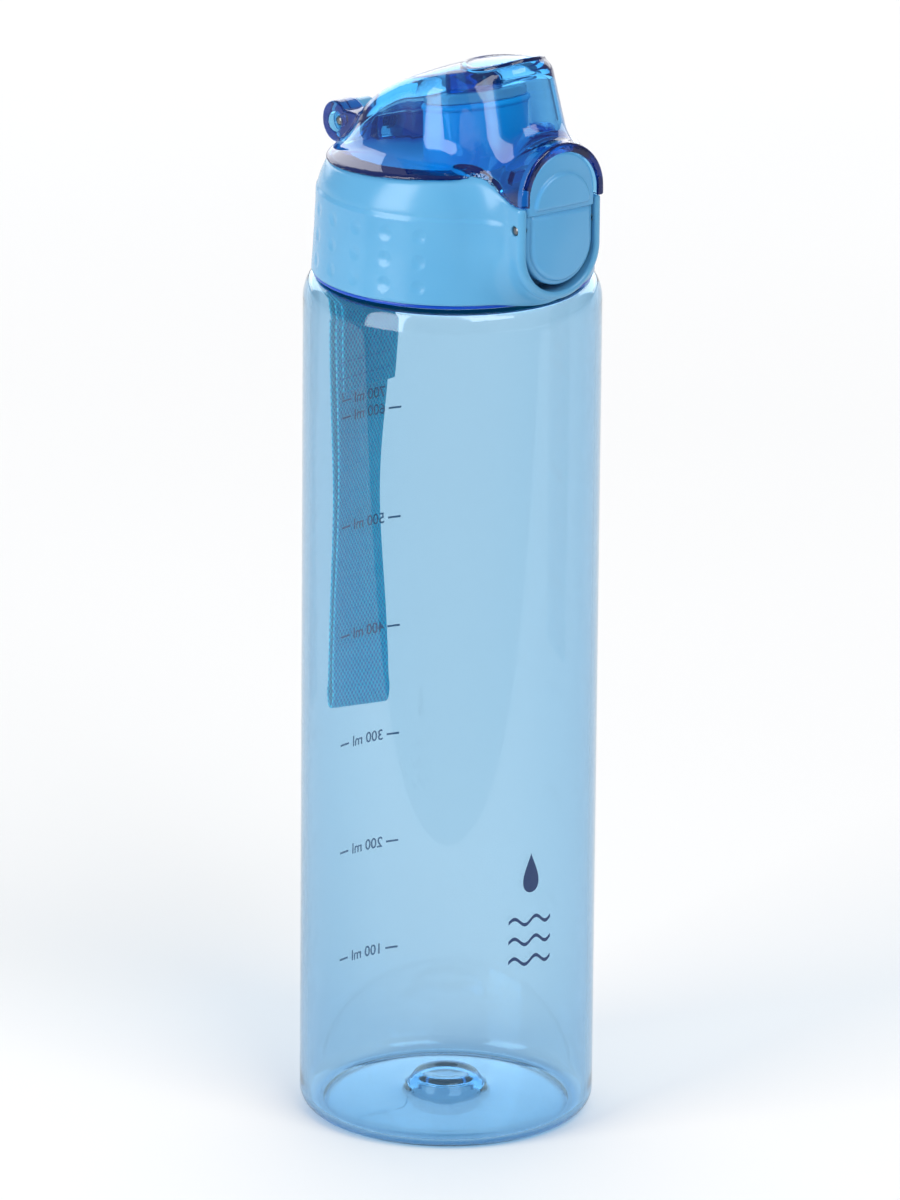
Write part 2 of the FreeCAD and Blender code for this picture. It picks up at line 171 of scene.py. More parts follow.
def block(p, low, high, r=0.0):
    """A box with its edges rounded to radius r."""
    q = [slab(v, a, b) + r for v, a, b in zip(p, low, high)]
    outside = np.sqrt(sum(np.maximum(v, 0) ** 2 for v in q))
    return outside + np.minimum(np.maximum(np.maximum(q[0], q[1]), q[2]), 0) - r


def rod(p, y, z, radius, half_x, r=0.0, centre_x=0.0):
    """A cylinder along X."""
    ends = np.abs(p[0] - centre_x) - half_x
    return round_max(np.hypot(p[1] - y, p[2] - z) - radius, ends, r)


def upright_slot(p, half_w, low_z, high_z=None):
    """The outline in XZ with a round lower end, and a round upper end if high_z is given."""
    x, z = p[0], p[2]
    over = np.minimum(z - low_z, 0)
    if high_z is not None:
        over = over + np.maximum(z - high_z, 0)
    return np.hypot(x, over) - half_w


def polygon(u, v, points):
    """Signed distance to a polygon in a plane, negative inside."""
    nearest = np.full(u.shape, np.inf)
    inside = np.zeros(u.shape, bool)
    for (ax, ay), (bx, by) in zip(points, points[1:] + points[:1]):
        ex, ey = bx - ax, by - ay
        t = np.clip(((u - ax) * ex + (v - ay) * ey) / (ex * ex + ey * ey), 0, 1)
        nearest = np.minimum(nearest, (u - ax - ex * t) ** 2 + (v - ay - ey * t) ** 2)
        if ay != by:
            inside ^= ((ay > v) != (by > v)) & (u < (bx - ax) * (v - ay) / (by - ay) + ax)
    return np.sqrt(nearest) * np.where(inside, -1, 1)


def helix_ridge(p, root_r, crest_r, start_z):
    """The helical ridge of the screw thread, between two radii."""
    r = np.hypot(p[0], p[1])
    turn = np.mod(np.arctan2(p[1], p[0]) / (2 * math.pi), 1.0)
    lap = np.clip(np.round((p[2] - start_z) / PITCH - turn), 0, 1)
    turns = turn + lap
    lap = np.where(turns > THREAD_TURNS, lap - 1, lap)
    along = np.abs(p[2] - start_z - PITCH * (turn + lap))
    past_end = np.maximum(-lap, 0) * 10
    share = np.clip((r - root_r) / (crest_r - root_r), 0, 1)
    ridge = along + past_end - (0.9 - 0.4 * share)
    ends = slab(r, min(root_r, crest_r), max(root_r, crest_r))
    return round_max(ridge, ends, 0.3)


def lip_frame(p):
    """Height over the spout's slanted lip, and distance from its axis."""
    y, z = p[1] - SPOUT_Y, p[2] - LIP_Z
    up = math.sin(LIP_TILT) * y + math.cos(LIP_TILT) * z
    back = math.cos(LIP_TILT) * y - math.sin(LIP_TILT) * z
    return up, np.hypot(p[0], back)


# ---- mesh of a field
def sample(field, low, high, step):
    """The field on a grid. Blocks that lie far from the surface get only their centre's value."""
    size = 8
    axes = [np.arange(int(math.ceil((b - a) / step / size)) * size + 1) * step + a for a, b in zip(low, high)]
    counts = [len(a) for a in axes]
    grid = np.empty(counts)
    starts = [np.arange(0, n - 1, size) for n in counts]
    cx, cy, cz = np.meshgrid(*[a[s] + size * step / 2 for a, s in zip(axes, starts)], indexing="ij")
    middle = field((cx, cy, cz))
    reach = size * step * math.sqrt(3) / 2 * 1.6 + 1.0
    rough = np.repeat(np.repeat(np.repeat(middle, size, 0), size, 1), size, 2)
    grid[:-1, :-1, :-1] = rough
    grid[-1, :, :] = grid[-2, :, :]
    grid[:, -1, :] = grid[:, -2, :]
    grid[:, :, -1] = grid[:, :, -2]
    near = np.zeros(counts, bool)
    for i, j, k in np.argwhere(np.abs(middle) < reach) * size:
        near[i:i + size + 1, j:j + size + 1, k:k + size + 1] = True
    i, j, k = np.nonzero(near)
    grid[near] = field((axes[0][i], axes[1][j], axes[2][k]))
    return axes, grid


def slope(field, p, reach=0.02):
    """The field's gradient at points p, an array of shape (3, n)."""
    rows = []
    for axis in range(3):
        shift = np.zeros((3, 1))
        shift[axis] = reach
        rows.append((field(p + shift) - field(p - shift)) / (2 * reach))
    return np.array(rows)


def surface(field, low, high, step):
    """Vertices, their normals and quads of the field's zero surface."""
    axes, grid = sample(field, low, high, step)
    inside = grid < 0
    nx, ny, nz = [n - 1 for n in grid.shape]
    corners = [(i, j, k) for i in (0, 1) for j in (0, 1) for k in (0, 1)]
    filled = sum(inside[i:i + nx, j:j + ny, k:k + nz].astype(np.int8) for i, j, k in corners)
    active = (filled > 0) & (filled < 8)
    ci, cj, ck = np.nonzero(active)
    number = np.full(active.shape, -1)
    number[active] = np.arange(len(ci))
    value = {c: grid[ci + c[0], cj + c[1], ck + c[2]] for c in corners}
    total, hits = np.zeros((3, len(ci))), np.zeros(len(ci))
    for a in corners:
        for axis in range(3):
            if a[axis]:
                continue
            b = tuple(1 if n == axis else a[n] for n in range(3))
            crossing = (value[a] < 0) != (value[b] < 0)
            with np.errstate(divide="ignore", invalid="ignore"):
                t = np.where(crossing, value[a] / (value[a] - value[b]), 0)
            for n in range(3):
                total[n] += np.where(crossing, a[n] + (t if n == axis else 0), 0)
            hits += crossing
    place = np.array([axes[0][0], axes[1][0], axes[2][0]])[:, None]
    p = place + (np.array([ci, cj, ck]) + total / hits) * step
    home = p.copy()
    for _ in range(3):
        g = slope(field, p)
        p = p - g * field(p) / np.maximum((g ** 2).sum(0), 0.05)
        p = home + np.clip(p - home, -0.75 * step, 0.75 * step)
    g = slope(field, p)
    normals = g / np.maximum(np.linalg.norm(g, axis=0), 1e-9)
    quads = []
    for axis in range(3):
        u, v = [n for n in range(3) if n != axis]
        head = [slice(None)] * 3
        tail = [slice(None)] * 3
        head[axis], tail[axis] = slice(0, -1), slice(1, None)
        a, b = inside[tuple(head)], inside[tuple(tail)]
        cross = a != b
        at = np.argwhere(cross)
        limit = (nx, ny, nz)
        at = at[(at[:, u] > 0) & (at[:, v] > 0) & (at[:, u] < limit[u]) & (at[:, v] < limit[v])]
        flip = a[tuple(at.T)]
        ring = []
        for du, dv in ((0, 0), (1, 0), (1, 1), (0, 1)):
            q = at.copy()
            q[:, u] -= du
            q[:, v] -= dv
            ring.append(number[tuple(q.T)])
        ring = np.array(ring).T
        if axis == 1:
            flip = ~flip
        ring[~flip] = ring[~flip][:, ::-1]
        quads.append(ring)
    return p.T, normals.T, np.concatenate(quads)


def mesh_object(name, points, faces, material, normals=None, smooth=True):
    """A new object from points in millimetres."""
    mesh = bpy.data.meshes.new(name)
    mesh.from_pydata((np.asarray(points) * MM).tolist(), [], [[int(i) for i in face] for face in faces])
    mesh.validate()
    if smooth:
        mesh.shade_smooth()
    if normals is not None and len(mesh.vertices) == len(normals):
        mesh.normals_split_custom_set_from_vertices(np.asarray(normals).tolist())
    mesh.materials.append(material)
    made = bpy.data.objects.new(name, mesh)
    bpy.context.scene.collection.objects.link(made)
    return made


def moulded(name, field, low, high, step, material):
    """A moulded piece: the surface of its field."""
    margin = 2 * step
    points, normals, quads = surface(field, np.array(low) - margin, np.array(high) + margin, step)
    return mesh_object(name, points, quads, material, normals)


def lathe(name, profile, material, segments=192, push=None):
    """A closed ring or solid of revolution about Z; push(angle, r, z) moves points outward."""
    r, z = np.array(profile, float).T
    angle = np.arange(segments) / segments * 2 * math.pi
    rr = np.repeat(r[:, None], segments, 1)
    zz = np.repeat(z[:, None], segments, 1)
    aa = np.repeat(angle[None, :], len(r), 0)
    if push is not None:
        rr = rr + push(aa, rr, zz)
    points = np.stack([rr * np.cos(aa), rr * np.sin(aa), zz], -1).reshape(-1, 3)
    index = np.arange(len(points)).reshape(len(r), segments)
    around = np.roll(index, -1, 1)
    closed = r[0] > 1e-6
    faces = []
    last = len(r) if closed else len(r) - 1
    for n in range(last):
        m = (n + 1) % len(r)
        faces.append(np.stack([index[n], around[n], around[m], index[m]], -1).reshape(-1, 4))
    faces = np.concatenate(faces)
    made = mesh_object(name, points, faces, material)
    weld(made)
    return made


def weld(made, distance=1e-7):
    """Joins the points that meet on the axis, and turns all faces outward."""
    import bmesh
    b = bmesh.new()
    b.from_mesh(made.data)
    bmesh.ops.remove_doubles(b, verts=b.verts, dist=distance)
    bmesh.ops.recalc_face_normals(b, faces=b.faces)
    b.to_mesh(made.data)
    b.free()
    made.data.shade_smooth()


def arc(centre, radius, start, end, count):
    """Points along an arc, angles in degrees."""
    turns = np.radians(np.linspace(start, end, count))
    return [(centre[0] + radius * math.cos(t), centre[1] + radius * math.sin(t)) for t in turns]


def line(a, b, count):
    """Points from a to b, without b."""
    return [(a[0] + (b[0] - a[0]) * n / count, a[1] + (b[1] - a[1]) * n / count) for n in range(count)]


# ---- materials
class Shader:
    """A new material with its node tree, and short ways to add to it."""

    def __init__(self, name):
        self.material = bpy.data.materials.new(name)
        self.material.use_nodes = True
        self.tree = self.material.node_tree
        self.principled = self.tree.nodes["Principled BSDF"]
        self.output = self.tree.nodes["Material Output"]
        self.place = self.node("ShaderNodeTexCoord").outputs["Object"]

    def node(self, kind, **settings):
        made = self.tree.nodes.new(kind)
        for key, value in settings.items():
            setattr(made, key, value)
        return made

    def link(self, a, b):
        self.tree.links.new(a, b)

    def feed(self, value, socket):
        self.link(value, self.principled.inputs[socket])

    def put(self, **values):
        for key, value in values.items():
            self.principled.inputs[key.replace("_", " ")].default_value = value

    def noise(self, scale, detail=3.0, roughness=0.5, source=None):
        made = self.node("ShaderNodeTexNoise")
        made.inputs["Scale"].default_value = scale
        made.inputs["Detail"].default_value = detail
        made.inputs["Roughness"].default_value = roughness
        self.link(source or self.place, made.inputs["Vector"])
        return made.outputs["Fac"]

    def math(self, operation, a, b=None):
        made = self.node("ShaderNodeMath", operation=operation)
        for place, value in zip(made.inputs, (a, b)):
            if isinstance(value, float):
                place.default_value = value
            elif value is not None:
                self.link(value, place)
        return made.outputs[0]

    def ramp(self, value, low, high, out_low, out_high):
        made = self.node("ShaderNodeMapRange")
        for key, number in (("From Min", low), ("From Max", high), ("To Min", out_low), ("To Max", out_high)):
            made.inputs[key].default_value = number
        self.link(value, made.inputs["Value"])
        return made.outputs["Result"]

    def colours(self, value, low, high):
        made = self.node("ShaderNodeMix", data_type="RGBA")
        made.inputs["A"].default_value = (*low, 1)
        made.inputs["B"].default_value = (*high, 1)
        self.link(value, made.inputs["Factor"])
        return made.outputs["Result"]

    def bump(self, height, strength, distance):
        made = self.node("ShaderNodeBump")
        made.inputs["Strength"].default_value = strength
        made.inputs["Distance"].default_value = distance
        self.link(height, made.inputs["Height"])
        return made.outputs["Normal"]


def srgb(*rgb):
    """An sRGB colour of 0 to 255 as the linear colour that shaders take."""
    return tuple((c / 255 / 12.92) if c <= 10 else ((c / 255 + 0.055) / 1.055) ** 2.4 for c in rgb)


def moulded_plastic(name, low, high, roughness, subsurface=0.0):
    """Opaque moulded plastic: slow colour drift, fine orange peel, and a few duller handled patches."""
    s = Shader(name)
    drift = s.noise(35.0, 2.0)
    s.feed(s.colours(s.ramp(drift, 0.3, 0.7, 0, 1), low, high), "Base Color")
    handled = s.noise(120.0, 4.0, 0.6)
    s.feed(s.ramp(handled, 0.35, 0.75, roughness, roughness + 0.1), "Roughness")
    s.feed(s.bump(s.noise(900.0, 2.0), 0.06, 0.0002), "Normal")
    s.put(IOR=1.49)
    if subsurface:
        s.put(Subsurface_Weight=subsurface, Subsurface_Scale=0.002)
        s.principled.inputs["Subsurface Radius"].default_value = (0.4, 0.8, 1.0)
    return s.material


def clear_plastic(name, absorb_colour, density, painted_glow, roughness=0.0, ior=1.5):
    """Clear tinted plastic: the tint is in its depth, and a faint glow stands in for scattered light."""
    s = Shader(name)
    s.put(Base_Color=(1, 1, 1, 1), Transmission_Weight=1.0, IOR=ior)
    # Painted glow: a faint emission that stands in for light scattered inside the plastic.
    s.put(Emission_Color=(*painted_glow, 1), Emission_Strength=0.03)
    wear = s.noise(60.0, 5.0, 0.7)
    s.feed(s.ramp(wear, 0.5, 0.8, roughness, roughness + 0.03), "Roughness")
    s.feed(s.bump(s.noise(45.0, 2.0), 0.02, 0.0004), "Normal")
    path = s.node("ShaderNodeLightPath")
    clear = s.node("ShaderNodeBsdfTransparent")
    mix = s.node("ShaderNodeMixShader")
    unseen = s.node("ShaderNodeMath", operation="MAXIMUM")
    s.link(path.outputs["Is Shadow Ray"], unseen.inputs[0])
    s.link(path.outputs["Is Diffuse Ray"], unseen.inputs[1])
    s.link(unseen.outputs[0], mix.inputs[0])
    s.link(s.principled.outputs[0], mix.inputs[1])
    s.link(clear.outputs[0], mix.inputs[2])
    s.link(mix.outputs[0], s.output.inputs["Surface"])
    depth = s.node("ShaderNodeVolumeAbsorption")
    depth.inputs["Color"].default_value = (*absorb_colour, 1)
    depth.inputs["Density"].default_value = density
    s.link(depth.outputs[0], s.output.inputs["Volume"])
    return s.material


def steel(name):
    """Turned steel with fine rings."""
    s = Shader(name)
    s.feed(s.colours(s.noise(400.0, 3.0), (0.16, 0.16, 0.16), (0.3, 0.3, 0.3)), "Base Color")
    s.put(Metallic=1.0, Anisotropic=0.4)
    s.feed(s.ramp(s.noise(900.0, 2.0), 0.3, 0.7, 0.22, 0.38), "Roughness")
    return s.material


def silicone(name):
    """Translucent silicone with a faint bloom."""
    s = Shader(name)
    s.feed(s.colours(s.noise(80.0, 3.0), srgb(205, 226, 240), srgb(225, 238, 247)), "Base Color")
    s.feed(s.ramp(s.noise(300.0, 3.0), 0.3, 0.7, 0.35, 0.5), "Roughness")
    s.put(Transmission_Weight=0.55, IOR=1.41)
    return s.material


def woven(name, low, high, weave=None):
    """Yarn: fine fibres, slightly varied colour, soft sheen, and painted shade in the gaps between the yarns.
    """
    s = Shader(name)
    light = s.ramp(s.noise(700.0, 4.0, 0.7), 0.3, 0.7, 0.0, 1.0)
    if weave:
        split = s.node("ShaderNodeSeparateXYZ")
        s.link(s.node("ShaderNodeTexCoord").outputs["UV"], split.inputs[0])
        waves = []
        for axis, pitch in enumerate(weave):
            turn = s.math("MULTIPLY", split.outputs[axis], 2 * math.pi / pitch)
            waves.append(s.math("COSINE", turn))
        # Painted shade: the colour darkens in the gaps between the yarns, on top of the real bumps of the
        # webbing mesh.
        yarn_gap_shade = s.ramp(s.math("MULTIPLY", waves[0], waves[1]), -0.75, 0.35, 0.0, 1.0)
        light = s.math("MULTIPLY", s.ramp(light, 0.0, 1.0, 0.6, 1.0), yarn_gap_shade)
    s.feed(s.colours(light, low, high), "Base Color")
    s.feed(s.ramp(s.noise(1500.0, 2.0), 0.3, 0.7, 0.5, 0.75), "Roughness")
    s.feed(s.bump(s.noise(4000.0, 2.0), 0.35, 0.0001), "Normal")
    s.put(Sheen_Weight=0.06, Sheen_Roughness=0.5, Specular_IOR_Level=0.15)
    return s.material


def ink(name, colour):
    """Printed ink, a little uneven."""
    s = Shader(name)
    darker = tuple(c * 0.8 for c in colour)
    s.feed(s.colours(s.noise(900.0, 3.0), darker, colour), "Base Color")
    s.feed(s.ramp(s.noise(500.0, 2.0), 0.3, 0.7, 0.35, 0.5), "Roughness")
    return s.material


def paper(name):
    """Pale studio floor."""
    s = Shader(name)
    s.feed(s.colours(s.noise(3.0, 2.0), (0.9, 0.905, 0.915), (0.93, 0.935, 0.94)), "Base Color")
    s.put(Roughness=0.75)
    return s.material


def paper_dark(name):
    """Dark felt that the polished surfaces mirror."""
    s = Shader(name)
    s.feed(s.colours(s.noise(8.0, 2.0), (0.03, 0.032, 0.036), (0.05, 0.052, 0.058)), "Base Color")
    s.put(Roughness=0.9)
    return s.material


# The last colour given to each clear plastic is its painted glow.
BODY_CLEAR = clear_plastic("body_clear", (0.11, 0.54, 0.77), 330.0, (0.0, 0.3, 0.5))
COVER_CLEAR = clear_plastic("cover_deep_blue_clear", (0.08, 0.63, 0.84), 620.0, (0.0, 0.16, 1.0))
COLLAR_BLUE = moulded_plastic("collar_light_blue", srgb(86, 156, 200), srgb(94, 162, 204), 0.16, 0.08)
BUTTON_BLUE = moulded_plastic("button_light_blue", srgb(87, 158, 206), srgb(95, 164, 210), 0.18, 0.08)
# Painted shade: a darker copy of the cap's blue, for the parts that sit in the collar's shade.
CAP_PAINTED_SHADE = moulded_plastic("cap_blue_painted_shade", srgb(8, 66, 178), srgb(14, 76, 190), 0.18)
CAP_BLUE = moulded_plastic("cap_blue", srgb(14, 186, 240), srgb(24, 194, 244), 0.4)
STEEL = steel("turned_steel")
SILICONE = silicone("silicone_clear")
# The webbing's darker colour also serves as the painted shade in the gaps between the yarns.
WEBBING = woven("webbing_turquoise", srgb(0, 148, 198), srgb(0, 255, 255), (WEAVE_ACROSS, WEAVE_ALONG))
THREAD = woven("sewing_thread", srgb(0, 130, 185), srgb(0, 180, 225))
INK = ink("ink_blue", srgb(32, 62, 110))
FLOOR = paper("studio_floor")


# ---- collar shell
def plain_seam(y):
    """Height of the sloping seam between collar and cover."""
    return SEAM_Z - SEAM_SLOPE * y


def seam_height(y):
    """Height of the collar's top: the sloping seam, which drops beside the latch."""
    t = np.clip((SEAM_DIP_Y - y) / 13.0, 0, 1)
    dip = t * t * (3 - 2 * t)
    return plain_seam(y) * (1 - dip) + SEAM_FRONT_Z * dip


def from_axis(p, centre):
    """Distance from the line along X through a joint's place."""
    return np.hypot(p[1] - centre[1], p[2] - centre[2])


def collar_radius(z):
    """Radius of the collar's wall, which tapers less and less on its way up."""
    up = z - COLLAR_LOW_Z
    return COLLAR_R - 0.075 * up + 0.0011 * up ** 2


def collar_outside(p):
    """The outer form of the collar with the latch housing flared into it."""
    x, y, z = p
    step = 0.3 * np.clip((z - SHOULDER_STEP_Z) / 0.8, 0, 1)
    shoulder = 2.2 * np.clip(1 - (plain_seam(y) - z) / 7.5, 0, 1.1) ** 2
    wall = np.hypot(x, y) - collar_radius(z) + step + shoulder
    top = z - seam_height(y)
    turned = round_max(round_max(wall, top, 0.7), COLLAR_LOW_Z - z, 0.5)
    housing = np.maximum(upright_slot(p, HOUSING_R, HOUSING_LOW_Z), y + 18)
    housing = round_max(round_max(housing, collar_low[1] - y, 1.5), top, 0.8)
    return round_min(turned, housing, 6.5)


def dimples(p):
    """Three rows of six balls on each side, folded on to one ball."""
    x, y, z = p
    side = np.abs(x)
    angle = (np.clip(np.floor(np.arctan2(y, side) / DIMPLE_STEP), -3, 2) + 0.5) * DIMPLE_STEP
    low, middle, high = DIMPLE_ROWS_Z
    row_z = np.where(z < (low + middle) / 2, low, np.where(z < (middle + high) / 2, middle, high))
    r = collar_radius(row_z) + DIMPLE_OUT
    from_centre = (side - r * np.cos(angle)) ** 2 + (y - r * np.sin(angle)) ** 2 + (z - row_z) ** 2
    return np.sqrt(from_centre) - DIMPLE_R


def collar_field(p):
    """The hollow collar with its latch recess, dimples, hinge knuckles, strap bar and pin holes."""
    x, y, z = p
    side = np.abs(x)
    from_hinge, from_latch = from_axis(p, HINGE), from_axis(p, LATCH)
    d = collar_outside(p)
    hollow = polygon(np.hypot(x, y), z, [
        (-1, 200), (COLLAR_IN_R, 200), (COLLAR_IN_R, 231.0), (28.8, 233.8), (DECK_R, 234.6), (DECK_R, 245),
        (-1, 245),
    ])
    d = cut(d, hollow, 0.2)
    ear_relief = np.maximum(from_hinge - EAR_R - 1.4, slab(side, EAR_X[0] - 0.2, EAR_X[1] + 0.8))
    d = cut(d, ear_relief, 0.3)
    recess = np.maximum(upright_slot(p, RECESS_R, HOUSING_LOW_Z), y - RECESS_BACK_Y)
    d = cut(d, recess, 0.7)
    d = cut(d, dimples(p), 0.3)
    across = slab(side, *KNUCKLE_X)
    knuckle = round_max(from_hinge - KNUCKLE_R, across, 0.4)
    foot = np.maximum(slab(y, HINGE[1] - 3.6, HINGE[1] + 2.2), slab(z, 235.7, HINGE[2]))
    d = round_min(d, np.minimum(knuckle, round_max(foot, across, 0.4)), 0.5)
    lug = block((side, y, z), (9.7, 31.2, BAR[2] - 2.6), (10.9, BAR[1], BAR[2] + BAR_R), 0.3)
    lug_end = rod((side, y, z), BAR[1], BAR[2], BAR_R, 0.6, 0.3, 10.3)
    d = round_min(d, np.minimum(lug, lug_end), 0.5)
    d = round_min(d, rod(p, BAR[1], BAR[2], BAR_R, 10.0), 0.2)
    d = cut(d, from_hinge - PIN_R, 0.15)
    return cut(d, np.maximum(from_latch - PIN_R, 11.0 - side), 0.15)


# ---- flip cover
def dome(p, grow=0.0, crease=2.4):
    """The tall middle of the cover: a turret round the spout, drawn to the hinge and waisted to the nose."""
    x, y, z = p
    side = np.abs(x)
    t = (z - DOME_LOW_Z) / (DOME_HIGH_Z - DOME_LOW_Z)
    circles = [
        (y0 + t * (y1 - y0), r0 + t * (r1 - r0) + grow)
        for (y0, r0), (y1, r1) in zip(DOME_LOW, DOME_HIGH)
    ]
    (nose_y, nose_r), (spout_y, spout_r), (hinge_y, hinge_r) = circles
    reach = hinge_y - spout_y
    lean = (spout_r - hinge_r) / reach
    upright = np.sqrt(1 - lean ** 2)
    along = upright * (y - spout_y) - lean * side
    plan = side * upright + (y - spout_y) * lean - spout_r
    plan = np.where(along < 0, np.hypot(side, y - spout_y) - spout_r, plan)
    plan = np.where(along > upright * reach, np.hypot(side, y - hinge_y) - hinge_r, plan)
    plan = round_min(plan, np.hypot(side, y - nose_y) - nose_r, 7.0)
    return round_max(plan * 0.985, ridge(p, grow), crease)


def ridge(p, grow=0.0):
    """Below the arched top, which is well crowned at the nose and flatter across at the hinge."""
    x, y, z = p
    side = np.abs(x)
    t = np.clip((y + 22.0) / 26.0, 0, 1)
    bend = 0.0217 - 0.0152 * t * t * (3 - 2 * t)
    near = np.minimum(side, 18.0)
    lean = 2 * bend * near
    drop = bend * near ** 2 + (side - near) * lean
    d = np.hypot(y - RIDGE_CENTRE[0], z - RIDGE_CENTRE[1]) - (RIDGE_R + grow - drop)
    return d / np.sqrt(1 + lean ** 2)


def skirt(p, grow=0.0):
    """The sloping skirt of the cover, whose rim follows the collar's top."""
    x, y, z = p
    r = np.hypot(x, y)
    rim_z = plain_seam(y) + 1.2
    fall = (243.6 - rim_z) / (RIM_R - 16.4)
    thinner = 1 - 0.45 * np.clip((r - 25.0) / 5.0, 0, 1)
    cone = (z - rim_z - (RIM_R - r) * fall) / np.sqrt(1 + fall ** 2) - grow * thinner
    return round_max(cone, r - RIM_R - grow * 0.55, 0.8)


def cover_outside(p):
    """The outer form of the cover: skirt, dome and latch arch, down to the collar's top."""
    y, z = p[1], p[2]
    d = round_min(skirt(p), dome(p), 4.0)
    arch = round_max(upright_slot(p, ARCH_OUT_R, -50, ARCH_Z), cover_low[1] - y, 0.7)
    arch = np.maximum(arch, y + 26)
    d = round_min(d, arch, 4.0)
    return round_max(d, seam_height(y) + COVER_GAP - z, 0.25)


def cover_field(p):
    """The thin cover with its arch, catch bar, top ring, plug boss and hinge ears."""
    x, y, z = p
    side = np.abs(x)
    from_hinge = from_axis(p, HINGE)
    d = cover_outside(p)
    d = cut(d, round_min(skirt(p, -COVER_WALL), dome(p, -COVER_WALL, 3.4), 5.0), 0.3)
    d = cut(d, collar_outside(p) - COVER_GAP, 0.3)
    tunnel = np.maximum(upright_slot(p, ARCH_IN_R, -50, ARCH_Z), y + 28)
    arch_wall = round_max(upright_slot(p, ARCH_OUT_R, -50, ARCH_Z), cover_low[1] - y, 0.7)
    arch_wall = np.maximum(np.maximum(arch_wall, y + 33), seam_height(y) + COVER_GAP - z)
    d = round_min(d, arch_wall, 0.5)
    d = cut(d, tunnel, 0.35)
    catch_bar = block(p, (-10.3, -35.4, 239.8), (10.3, -33.6, 242.2), 0.3)
    d = round_min(d, catch_bar, 0.3)
    top_ring = round_max(np.abs(np.hypot(x, y + 18.5) - 9.2) - 0.6, np.abs(ridge(p) + 0.1) - 0.45, 0.3)
    d = round_min(d, top_ring, 0.5)
    up, out = lip_frame(p)
    boss = np.maximum(np.maximum(out - 6.0, 1.0 - up), ridge(p, -0.5))
    d = round_min(d, boss, 0.5)
    hinge_block = block(p, (-7.8, 18.6, 237.4), (7.8, 22.8, 244.2), 0.5)
    d = round_min(d, hinge_block, 0.5)
    across = slab(side, *EAR_X)
    ear = round_max(from_hinge - EAR_R, across, 0.5)
    arm = np.maximum(slab(y, 17.0, HINGE[1]), slab(z, 238.2, HINGE[2] + 3.6))
    arm = cut(round_max(arm, across, 0.5), dome(p, -COVER_WALL, 1.0))
    d = round_min(d, np.minimum(ear, arm), 0.7)
    knuckle_room = np.maximum(side - EAR_X[0], np.minimum(HINGE[1] - 3.1 - y, from_hinge - EAR_R))
    d = cut(d, knuckle_room, 0.3)
    d = cut(d, np.maximum(from_hinge - PIN_R - PIN_PLAY, 7.0 - side), 0.25)
    return cut(d, np.maximum(from_hinge - 2.4, 12.4 - side), 0.3)


# ---- screw cap
def cap_field(p):
    """The cap: ribbed wall, deck, spout with its slanted lip, and the thread inside."""
    x, y, z = p
    section = polygon(np.hypot(x, y), z, [
        (28.8, cap_low[2]), (31.3, cap_low[2]), (31.3, 212.0), (30.4, 212.0), (30.4, 227.0), (31.3, 227.0),
        (31.3, 228.9), (30.4, 228.9), (30.4, 230.6), (28.2, 233.0), (27.8, 233.6), (27.8, 236.2),
        (27.6, ROOF_TOP_Z), (-1, ROOF_TOP_Z), (-1, ROOF_LOW_Z), (26.6, ROOF_LOW_Z), (28.0, 232.0),
    ])
    q = np.hypot(x, y - SPOUT_Y)
    up, out = lip_frame(p)
    tube = np.maximum(np.maximum(q - SPOUT_R, up), ROOF_LOW_Z - z)
    lip = round_max(out - LIP_R, slab(up, -1.4, 0.0), 0.65)
    d = round_min(section, tube, 1.2)
    d = round_min(d, lip, 0.3)
    d = cut(d, q - BORE_R, 0.6)
    return round_min(d, helix_ridge(p, 29.0, 27.2, THREAD_Z - PITCH / 2), 0.2)


# ---- latch button
BUTTON_HALF = 9.92
BUTTON_LOW_Z = 225.2
BUTTON_FACE_Y = -41.2
BUTTON_BACK_Y = -36.6
BOSS_Z = 234.4
BOSS_R = 8.1
PAD_HALF = 9.0
PAD_HIGH_Z = 233.2


def button_field(p):
    """The rocker: a plate with a half-round boss over a swelled pad, a hook, and the spring's pocket."""
    x, y, z = p
    outline = upright_slot(p, BUTTON_HALF, BUTTON_LOW_Z, ARCH_Z - 0.1)
    seat = 0.7 * np.clip((PAD_HIGH_Z + 0.2 - z) / 0.5, 0, 1)
    crown = 0.0035 * x ** 2 - y
    d = round_max(outline, BUTTON_FACE_Y + seat + crown, 0.9)
    d = np.maximum(d, y - BUTTON_BACK_Y)
    d = cut(d, np.maximum(-38.2 - y, PAD_HIGH_Z + 0.4 - z), 0.3)
    boss_outline = round_max(np.hypot(x, z - BOSS_Z) - BOSS_R, BOSS_Z - z, 1.0)
    boss = np.maximum(round_max(boss_outline, BUTTON_FACE_Y - 0.8 + crown, 0.7), y + 40)
    d = round_min(d, boss, 0.5)
    pad_outline = round_max(upright_slot(p, PAD_HALF, BUTTON_LOW_Z + 0.2), z - PAD_HIGH_Z, 0.8)
    swell = BUTTON_FACE_Y - 0.65 - y + 0.009 * x ** 2 + 0.004 * (z - 224.0) ** 2
    pad = np.maximum(round_max(pad_outline, swell, 1.2), y + 38)
    d = round_min(d, pad, 0.3)
    hook = block(p, (-4.0, -38.5, 242.6), (4.0, -35.6, 244.2), 0.3)
    d = round_min(d, hook, 0.3)
    pocket = np.maximum(np.hypot(x, z - 219.5) - 2.9, -38.0 - y)
    d = cut(d, pocket, 0.2)
    return cut(d, from_axis(p, LATCH) - PIN_R - PIN_PLAY, 0.1)


